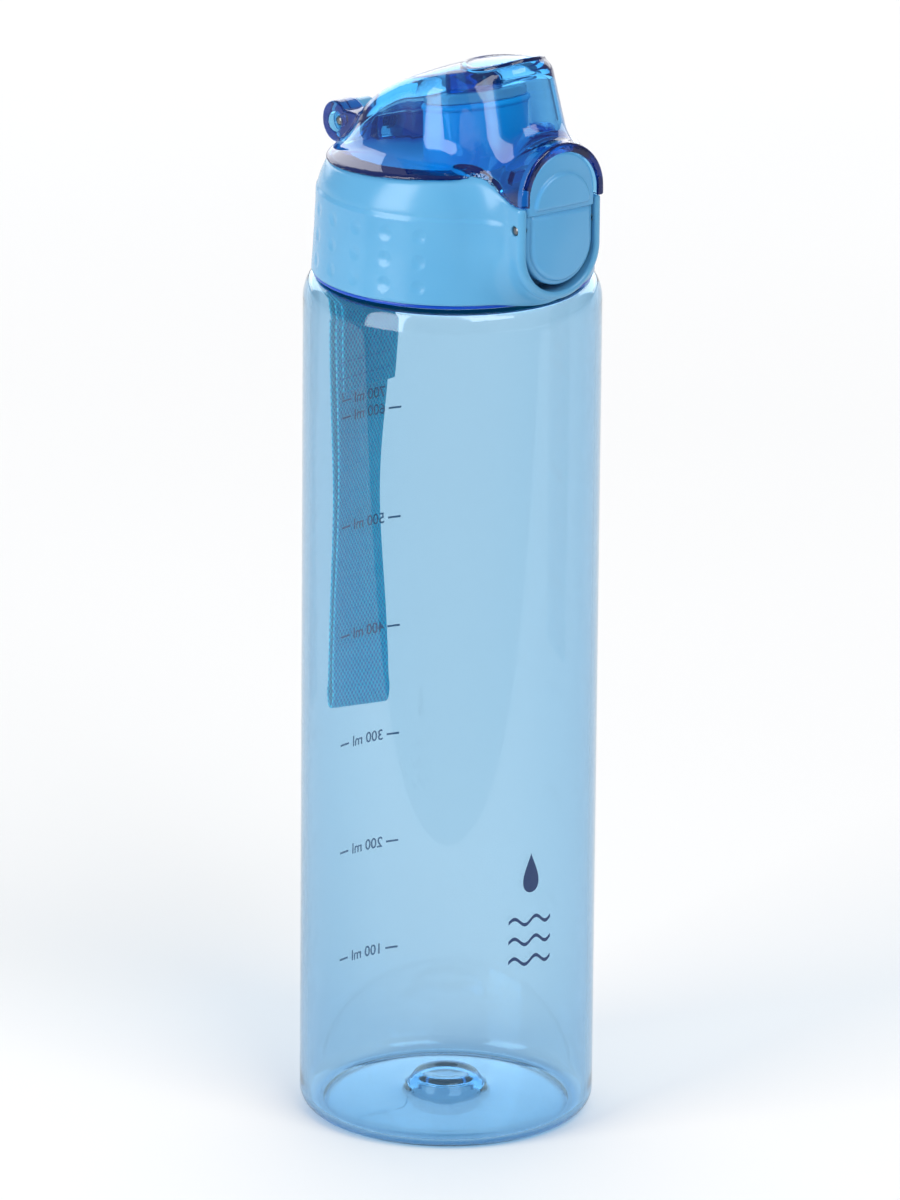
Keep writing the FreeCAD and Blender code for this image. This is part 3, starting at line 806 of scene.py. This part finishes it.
# ---- pieces
def bottle():
    """The blown body, with its pushed-up base, shoulder and threaded neck, as one closed wall."""
    shift = SHOULDER_R - SHOULDER_TIGHT_R
    big = (BODY_R - SHOULDER_R, SHOULDER_Z)
    small = (big[0] + shift * math.cos(SHOULDER_TURN), big[1] + shift * math.sin(SHOULDER_TURN))
    turn = math.degrees(SHOULDER_TURN)
    shoulder_top = small[1] + SHOULDER_TIGHT_R
    inner_r = BODY_R - WALL
    heel = (BODY_R - HEEL_R, HEEL_R)
    profile = smooth_curve([(0, 5.4), (3.5, 5.5), (5.7, 5.3), (7.0, 4.1), (8.4, 2.9), (12, 2.3), (20, 1.7),
                            (25.0, 1.15), (28, 0.6), (29.6, 0.08)], 60)
    profile += line((29.7, 0.0), (heel[0], 0.0), 3)
    profile += arc(heel, HEEL_R, -90, 0, 20)
    profile += line((BODY_R, 6.0), (BODY_R, SHOULDER_Z), 40)
    profile += arc(big, SHOULDER_R, 0, turn, 14)
    profile += arc(small, SHOULDER_TIGHT_R, turn, 90, 12)[1:]
    profile += arc((NECK_OUT_R + 1.0, shoulder_top + 1.0), 1.0, -90, -180, 6)
    profile += line((NECK_OUT_R, shoulder_top + 1.4), (NECK_OUT_R, MOUTH_Z - 0.6), 60)
    profile += arc((NECK_OUT_R - 0.6, MOUTH_Z - 0.6), 0.6, 0, 90, 5)
    profile += arc((NECK_IN_R + 0.6, MOUTH_Z - 0.6), 0.6, 90, 180, 5)
    profile += line((NECK_IN_R, MOUTH_Z - 1.0), (NECK_IN_R, shoulder_top), 6)
    profile += arc((NECK_IN_R + 1.2, shoulder_top - 0.4), 1.2, 180, 270, 6)
    profile += arc(small, SHOULDER_TIGHT_R - WALL, 90, turn, 8)
    profile += arc(big, SHOULDER_R - WALL, turn, 0, 14)[1:]
    profile += line((inner_r, SHOULDER_Z - 1.0), (inner_r, 4.9), 40)
    profile += arc(heel, HEEL_R - WALL, 0, -84, 12)
    profile += smooth_curve([(30.2, 1.7), (28.0, 2.0), (24.6, 2.5), (20, 3.0), (13, 3.65), (9.9, 4.4),
                             (8.6, 6.2), (7.4, 7.6), (5.7, 8.0), (3, 7.5), (0, 7.4)], 60)

    def thread(angle, r, z):
        turns = angle / (2 * math.pi)
        push = np.zeros_like(r)
        for lap in (0, 1):
            along = np.abs(z - THREAD_Z - PITCH * (turns + lap))
            ridge_height = np.clip((0.95 - along) / 0.4, 0, 1) * THREAD_DEEP
            fade = np.clip((THREAD_TURNS - turns - lap) / 0.04, 0, 1) * np.clip((turns + lap) / 0.04, 0, 1)
            push = np.maximum(push, ridge_height * fade)
        return np.where(np.abs(r - NECK_OUT_R) < 0.01, push, 0)

    return lathe("bottle_wall", profile, BODY_CLEAR, 256, thread)


def smooth_curve(points, count):
    """A Catmull-Rom curve through points, as count points evenly spread."""
    p = np.array(points, float)
    p = np.vstack([2 * p[0] - p[1], p, 2 * p[-1] - p[-2]])
    out = []
    spans = len(points) - 1
    for s in np.linspace(0, spans, count):
        n = min(int(s), spans - 1)
        t = s - n
        a, b, c, d = p[n:n + 4]
        bend, twist = 2 * a - 5 * b + 4 * c - d, 3 * b - a - 3 * c + d
        v = b + 0.5 * ((c - a) * t + bend * t ** 2 + twist * t ** 3)
        out.append((max(float(v[0]), 0.0), float(v[1])))
    return out


def tilt_to_lip(made):
    """Moves a piece built about the origin on to the spout's slanted lip."""
    turn = Matrix.Rotation(-LIP_TILT, 4, "X")
    made.data.transform(Matrix.Translation((0, SPOUT_Y * MM, LIP_Z * MM)) @ turn)


def seal():
    """The soft plug that closes the spout."""
    profile = [(0, -3.4)] + line((2, -3.4), (8.4, -3.4), 4) + arc((8.5, -2.9), 0.5, -90, 0, 5)
    profile += line((9.1, -2.5), (10.0, 0.0), 5) + [(10.2, 0.2), (11.4, 0.2)]
    profile += arc((11.6, 0.8), 0.6, -90, 0, 5) + arc((11.6, 2.0), 0.6, 0, 90, 5)
    profile += [(9.0, 2.6), (6.3, 2.6), (6.05, 2.4), (6.05, 1.05), (3.0, 1.0), (0, 1.0)]
    made = lathe("spout_plug", profile, SILICONE, 96)
    tilt_to_lip(made)
    return made


def gasket():
    """The flat silicone ring in the cap."""
    low, high = node_box("neck_gasket")
    r = 0.4
    inner, outer = NECK_IN_R + 0.2 + r, high[0] - r
    bottom, top = low[2] + r, high[2] - r
    profile = arc((inner, bottom), r, 180, 270, 5) + arc((outer, bottom), r, -90, 0, 5)
    profile += arc((outer, top), r, 0, 90, 5) + arc((inner, top), r, 90, 180, 5)
    return lathe("mouth_ring", profile, SILICONE, 128)


def cap_rim():
    """The thin flange at the foot of the cap, which shows under the collar in a deeper blue of painted shade.
    """
    low, high = cap_low[2], cap_low[2] + 0.9
    inner, outer, r = 30.6, cap_high[0], 0.35
    profile = [(inner, low)] + arc((outer - r, low + r), r, -90, 0, 6)
    profile += arc((outer - r, high - r), r, 0, 90, 6) + [(inner, high)]
    return lathe("cap_flange", profile, CAP_PAINTED_SHADE, 256)


def pin(name, node, place, sunk):
    """A steel pin along X with chamfered, slightly domed ends, each sunk below the moulding's face."""
    half, r = node_box(node)[1][0] - sunk, PIN_R
    profile = [(0, -half), (0.5, -half + 0.02), (0.8, -half + 0.1), (r, -half + 0.4)]
    profile += [(r, half - 0.4), (0.8, half - 0.1), (0.5, half - 0.02), (0, half)]
    made = lathe(name, profile, STEEL, 32)
    made.data.transform(Matrix.Translation(Vector(place) * MM) @ Matrix.Rotation(math.pi / 2, 4, "Y"))
    return made


# ---- strap
def strap_loop():
    """The middle of the webbing in YZ: down the side near the bottle, round the fold, up and over the bar."""
    y, z = BAR[1], BAR[2]
    reach = 1.75
    low = strap_low[2] + 2.4
    path = smooth_curve([
        (y - reach, z), (y - reach, z - 16), (y - reach, z - 48), (y - 1.2, z - 80), (y - 1.1, low + 9),
        (y - 1.5, low + 2.5), (y - 0.9, low - 0.9), (y + 0.2, low - 1.75), (y + 1.2, low - 0.8),
        (y + 1.6, low + 2.5), (y + 1.0, low + 9), (y + 0.6, z - 80), (y + 1.2, z - 45), (y + 1.7, z - 14),
        (y + reach, z),
    ], 900)
    return np.array(path + arc((y, z), reach, 0, 180, 24)[1:-1])


def strap_pose(u, y, z):
    """Where a point of the flat-hanging webbing goes: the lower half is twisted and a little skewed."""
    swell = np.exp(-((z - 146.0) / 32.0) ** 2)
    turn = math.radians(19.0) * swell
    low = np.clip((160.0 - z) / 70.0, 0, 1)
    deep = y - BAR[1]
    x = u * np.cos(turn) - deep * np.sin(turn)
    return x, BAR[1] + deep * np.cos(turn) + u * np.sin(turn) + 1.6 * swell, z - 0.1 * low * u


def webbing(path, width, closed, shift=0.0):
    """A strip of webbing along a path in YZ, with its basket weave as real bumps on both faces."""
    rounds = np.vstack([path, path[:1]]) if closed else path
    lengths = np.concatenate([[0], np.cumsum(np.linalg.norm(np.diff(rounds, axis=0), axis=1))])
    total = lengths[-1]
    per = 4
    rows = int(round(total / WEAVE_ALONG)) * per
    s = np.arange(rows) / (rows if closed else rows - 1) * total
    near = [np.interp(s + d, lengths, rounds[:, n]) for d in (-0.2, 0.2) for n in (0, 1)]
    y, z = np.interp(s, lengths, rounds[:, 0]), np.interp(s, lengths, rounds[:, 1])
    ty, tz = near[2] - near[0], near[3] - near[1]
    norm = np.hypot(ty, tz)
    ny, nz = tz / norm, -ty / norm
    columns = int(round(width / WEAVE_ACROSS)) * per + 1
    u = np.linspace(-width / 2, width / 2, columns)
    wave = np.cos(2 * math.pi * u / WEAVE_ACROSS)[None, :] * np.cos(2 * math.pi * s / WEAVE_ALONG)[:, None]
    edge = np.clip((width / 2 - np.abs(u)) / 0.6, 0, 1)[None, :]
    half = (WEBBING_HALF + WEAVE_DEEP * wave * edge) * (0.5 + 0.5 * np.sqrt(edge))
    across, along = np.broadcast_to(u[None, :], half.shape), np.broadcast_to(s[:, None], half.shape)
    points, uvs = [], []
    for side in (1, -1):
        placed = strap_pose(across + shift, y[:, None] + side * ny[:, None] * half,
                            z[:, None] + side * nz[:, None] * half)
        points.append(np.stack(placed, -1).reshape(-1, 3))
        uvs.append(np.stack([across, along], -1).reshape(-1, 2))
    count = rows * columns
    index = np.arange(count).reshape(rows, columns)
    after = np.roll(index, -1, 0) if closed else index[1:]
    index = index if closed else index[:-1]
    outer = np.stack([index[:, :-1], index[:, 1:], after[:, 1:], after[:, :-1]], -1).reshape(-1, 4)
    faces = [outer, outer[:, ::-1] + count]
    for column, turn in ((0, 1), (columns - 1, -1)):
        a, b = index[:, column], after[:, column]
        faces.append(np.stack([a, b, b + count, a + count], -1)[:, ::turn])
    if not closed:
        for row, turn in ((index[0], -1), (after[-1], 1)):
            faces.append(np.stack([row[:-1], row[1:], row[1:] + count, row[:-1] + count], -1)[:, ::turn])
    return np.concatenate(points), np.concatenate(uvs), np.concatenate(faces), total


def strap():
    """The webbing loop with its sewn tail inside it, and the length of webbing in both."""
    width = strap_high[0] - strap_low[0]
    y = BAR[1] - 2.65
    tail = np.array([(y + 0.1 * math.sin(n / 7), SEWN_HIGH_Z - n) for n in np.arange(0, SEWN_LENGTH, 0.5)])
    loop = webbing(strap_loop(), width, True)
    end = webbing(tail, width, False, 1.6)
    points = np.vstack([loop[0], end[0]])
    faces = np.vstack([loop[2], end[2] + len(loop[0])])
    made = mesh_object("strap_webbing", points, faces, WEBBING)
    uvs = np.vstack([loop[1], end[1]])
    layer = made.data.uv_layers.new(name="weave")
    corners = np.zeros(len(made.data.loops), np.int32)
    made.data.loops.foreach_get("vertex_index", corners)
    layer.data.foreach_set("uv", uvs[corners].ravel())
    return made, loop[3] + end[3]


def stitches():
    """Four rows of thread stitches that close the loop, each a short thread that dips at both ends."""
    points, faces = [], []
    rings, around, reach, thick = 7, 6, 0.75, 0.2
    for row_z in SEAM_ROWS_Z:
        for middle in np.arange(-8.0, 8.5, 2.0):
            start = len(points)
            for n in range(rings):
                t = 2 * n / (rings - 1) - 1
                r = thick * math.sqrt(max(1 - t ** 4, 0.02))
                for k in range(around):
                    a = 2 * math.pi * k / around
                    y = BAR[1] - 3.1 + 0.22 * t * t + r * math.cos(a)
                    points.append(strap_pose(middle + reach * t, y, row_z + 0.12 * t + r * math.sin(a)))
            for n in range(rings - 1):
                for k in range(around):
                    a, b = start + n * around + k, start + n * around + (k + 1) % around
                    faces.append((a, b, b + around, a + around))
            faces.append(tuple(start + k for k in reversed(range(around))))
            faces.append(tuple(start + (rings - 1) * around + k for k in range(around)))
    made = mesh_object("strap_seams", points, faces, THREAD)
    weld(made)
    return made


# ---- prints
INK_LOW = 0.01
INK_HIGH = 0.04
SCALE_ANGLE = 87.6
SCALE_FIRST_Z = 27.9
SCALE_STEP_Z = 27.63
TICK_HALF = 0.25
MARK_HIGH = 2.6
DROP_ANGLE = -94.0
DROP_Z = 55.0


def wrapped(outline, centre_angle, centre_z):
    """Flat mesh (points in mm in its own plane, faces) laid round the body as a thin film of ink."""
    points, faces = outline
    out = []
    for r in (BODY_R + INK_LOW, BODY_R + INK_HIGH):
        for u, v in points:
            a = math.radians(centre_angle) + u / BODY_R
            out.append((r * math.cos(a), r * math.sin(a), centre_z + v))
    n = len(points)
    all_faces = [tuple(i + n for i in f) for f in faces] + [tuple(reversed(f)) for f in faces]
    edges = {}
    for f in faces:
        for a, b in zip(f, f[1:] + f[:1]):
            if (b, a) in edges:
                del edges[(b, a)]
            else:
                edges[(a, b)] = True
    all_faces += [(a, b, b + n, a + n) for a, b in edges]
    return out, all_faces


def letters(text, height):
    """Flat faces of generic lettering, its middle at the origin, in millimetres."""
    curve = bpy.data.curves.new("lettering", "FONT")
    curve.body = text
    curve.size = height / 0.69
    curve.align_x = "CENTER"
    curve.align_y = "CENTER"
    curve.resolution_u = 4
    curve.offset = 0.045
    holder = bpy.data.objects.new("lettering", curve)
    bpy.context.scene.collection.objects.link(holder)
    bpy.context.view_layer.update()
    mesh = bpy.data.meshes.new_from_object(holder)
    points = [(v.co.x * 0.93, v.co.y) for v in mesh.vertices]
    faces = [tuple(f.vertices) for f in mesh.polygons]
    bpy.data.objects.remove(holder)
    bpy.data.curves.remove(curve)
    bpy.data.meshes.remove(mesh)
    return points, faces


def bar_outline(u0, u1, v0, v1, pieces=6):
    """A rectangle in strips, so that it bends round the body."""
    us = np.linspace(u0, u1, pieces + 1)
    points = [(u, v) for u in us for v in (v0, v1)]
    faces = [(2 * n, 2 * n + 2, 2 * n + 3, 2 * n + 1) for n in range(pieces)]
    return points, faces


def joined(parts):
    """Several (points, faces) as one."""
    points, faces = [], []
    for some_points, some_faces in parts:
        shift = len(points)
        points += list(some_points)
        faces += [tuple(i + shift for i in f) for f in some_faces]
    return points, faces


def volume_scale():
    """Volume marks on the back: 100 to 600 ml with two ticks each, and 700 ml with a small hook."""
    parts = []
    for n in range(6):
        z = SCALE_FIRST_Z + SCALE_STEP_Z * n
        parts.append(wrapped(letters(f"{n + 1}00 ml", MARK_HIGH), SCALE_ANGLE, z))
        for start, end in ((97.5, 102.6), (72.7, 78.2)):
            half = math.radians(end - start) / 2 * BODY_R
            parts.append(wrapped(bar_outline(-half, half, -TICK_HALF, TICK_HALF), (start + end) / 2, z))
    z += 4.3
    half = math.radians(5.1) / 2 * BODY_R
    parts.append(wrapped(letters("700 ml", MARK_HIGH), SCALE_ANGLE, z))
    parts.append(wrapped(bar_outline(-half, half, -0.16, 0.16), 100.0, z))
    parts.append(wrapped(bar_outline(half - 0.32, half, 0.16, 2.2, 2), 100.0, z))
    points, faces = joined(parts)
    return mesh_object("scale_marks", points, faces, INK, smooth=False)


def drop_mark():
    """A plain water drop over three wavy lines, printed on the front."""
    count, steps, drop_v = 40, 36, 14.0
    points = [(0.0, drop_v - 1.6)]
    for n in range(count):
        t = 2 * math.pi * n / count
        points.append((3.2 * math.sin(t) * math.sin(t / 2) ** 1.6, drop_v + 4.95 * math.cos(t)))
    shapes = [(points, [((n + 1) % count + 1, n + 1, 0) for n in range(count)])]
    for wave_v in (2.0, -3.0, -8.0):
        strip = []
        for n in range(steps + 1):
            u = -6.0 + 12.0 * n / steps
            v = wave_v + 0.9 * math.sin(u * math.pi / 3.0)
            strip += [(u, v - 0.45), (u, v + 0.45)]
        shapes.append((strip, [(2 * n, 2 * n + 2, 2 * n + 3, 2 * n + 1) for n in range(steps)]))
    points, faces = joined([wrapped(shape, DROP_ANGLE, DROP_Z) for shape in shapes])
    return mesh_object("drop_mark", points, faces, INK, smooth=False)


# ---- build
def build_pieces():
    """Builds every piece, hangs it on the body it rides on, and hides the CAD node it stands for."""
    wall = bottle()
    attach(wall, "bottle")
    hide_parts("bottle_body")

    collar = moulded("collar_case", collar_field, collar_low, collar_high, 0.5, COLLAR_BLUE)
    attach(collar, "lid")
    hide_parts("collar_shell")

    cover = moulded("cover_shell", cover_field, cover_low, cover_high, 0.46, COVER_CLEAR)
    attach(cover, "cover")
    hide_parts("flip_cover")

    cap = moulded("cap_moulding", cap_field, cap_low, cap_high, 0.52, CAP_BLUE)
    # Painted shade: the cap's faces low inside the collar take the darker copy of its blue; the deck and
    # spout keep the light blue.
    cap.data.materials.append(CAP_PAINTED_SHADE)
    for face in cap.data.polygons:
        face.material_index = int(face.center.z < (ROOF_LOW_Z - 1.0) * MM)
    rim = cap_rim()
    for made in (cap, rim):
        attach(made, "lid")
        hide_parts("screw_cap")

    button_low, button_high = node_box("latch_button")
    button = moulded("latch_rocker", button_field, button_low - (0, 0.5, 0), button_high, 0.25, BUTTON_BLUE)
    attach(button, "button")
    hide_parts("latch_button")

    plug = seal()
    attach(plug, "cover")
    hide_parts("spout_seal")

    ring = gasket()
    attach(ring, "lid_lift")
    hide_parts("neck_gasket")

    pins = (("hinge_rod", "hinge_pin", HINGE, 1.0), ("latch_rod", "latch_pin", LATCH, 0.25))
    for name, node, place, sunk in pins:
        made = pin(name, node, place, sunk)
        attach(made, "lid")
        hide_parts(node)

    band, length = strap()
    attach(band, "strap")
    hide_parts("carry_strap")
    seams = stitches()
    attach(seams, "strap")
    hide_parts("strap_stitching")

    for made in (volume_scale(), drop_mark()):
        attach(made, "bottle")

    for node in ("hinge_spring", "latch_spring"):
        for place in frame["nodes"][node].material_slots:
            place.material = STEEL


# ---- stage
CAMERA_SIDE = math.radians(38.0)
CAMERA_AWAY = 2.262
CAMERA_HIGH = 0.8542
CAMERA_DOWN = math.radians(17.81)
CAMERA_ROLL = math.radians(0.495)
CAMERA_LENS = 298.1


def camera():
    """A long lens, at the photograph's side and height."""
    data = bpy.data.cameras.new("camera")
    data.lens = CAMERA_LENS
    data.sensor_width = 36.0
    data.clip_end = 50
    made = bpy.data.objects.new("camera", data)
    bpy.context.scene.collection.objects.link(made)
    level = Vector((math.sin(CAMERA_SIDE), math.cos(CAMERA_SIDE), 0))
    forward = level * math.cos(CAMERA_DOWN) - Vector((0, 0, math.sin(CAMERA_DOWN)))
    right = Vector((math.cos(CAMERA_SIDE), -math.sin(CAMERA_SIDE), 0))
    up = right.cross(forward)
    c, s = math.cos(CAMERA_ROLL), math.sin(CAMERA_ROLL)
    right, up = c * right + s * up, -s * right + c * up
    turn = Matrix((right, up, -forward)).transposed().to_4x4()
    made.matrix_world = Matrix.Translation(from_camera(0, CAMERA_HIGH, CAMERA_AWAY)) @ turn
    bpy.context.scene.camera = made


def softbox(name, place, aim, width, height, power):
    """A rectangular studio light, in metres and watts."""
    data = bpy.data.lights.new(name, "AREA")
    data.shape = "RECTANGLE"
    data.size, data.size_y = width, height
    data.energy = power
    made = bpy.data.objects.new(name, data)
    bpy.context.scene.collection.objects.link(made)
    made.location = place
    made.visible_camera = False
    made.rotation_euler = (Vector(aim) - Vector(place)).to_track_quat("-Z", "Y").to_euler()


def from_camera(right, up, away):
    """A place given to the right of the bottle, above it and towards the camera, in metres."""
    c, s = math.cos(CAMERA_SIDE), math.sin(CAMERA_SIDE)
    return (right * c - away * s, -right * s - away * c, up)


def dark_card():
    """A dark card that only reflections show: it lies before the bottle, then stands up behind the camera."""
    near, far, half, low, high = 0.25, 2.9, 1.6, 0.003, 2.4
    corners = [
        from_camera(-half, low, near), from_camera(half, low, near), from_camera(half, low, far),
        from_camera(-half, low, far), from_camera(half, high, far), from_camera(-half, high, far),
    ]
    felt = paper_dark("dark_felt")
    made = mesh_object("dark_card", np.array(corners) / MM, [(0, 1, 2, 3), (3, 2, 4, 5)], felt, smooth=False)
    made.visible_camera = False
    made.visible_transmission = False
    made.visible_diffuse = False
    made.visible_shadow = False
    return made


def studio():
    """Plain pale floor, pale surroundings, a dark card and three softboxes."""
    reach = 6.0 / MM
    corners = [(-reach, -reach, 0), (reach, -reach, 0), (reach, reach, 0), (-reach, reach, 0)]
    floor = mesh_object("studio_ground", corners, [(0, 1, 2, 3)], FLOOR, smooth=False)
    world = bpy.data.worlds.new("studio_world")
    bpy.context.scene.world = world
    world.use_nodes = True
    sky = world.node_tree.nodes["Background"]
    sky.inputs[0].default_value = (1.0, 1.0, 1.0, 1)
    sky.inputs[1].default_value = 0.36
    card = dark_card()
    aim = (0, 0, 0.14)
    softbox("tall_left", from_camera(-1.35, 0.98, 1.0), (0, 0, 0.98), 0.95, 1.9, 27)
    softbox("high_right", from_camera(1.0, 1.96, 1.49), aim, 1.5, 1.6, 34)
    softbox("back_sweep", from_camera(0.0, 0.95, -2.4), aim, 4.5, 1.7, 49)
    bpy.context.scene.view_settings.view_transform = "Standard"


camera()
studio()
build_pieces()
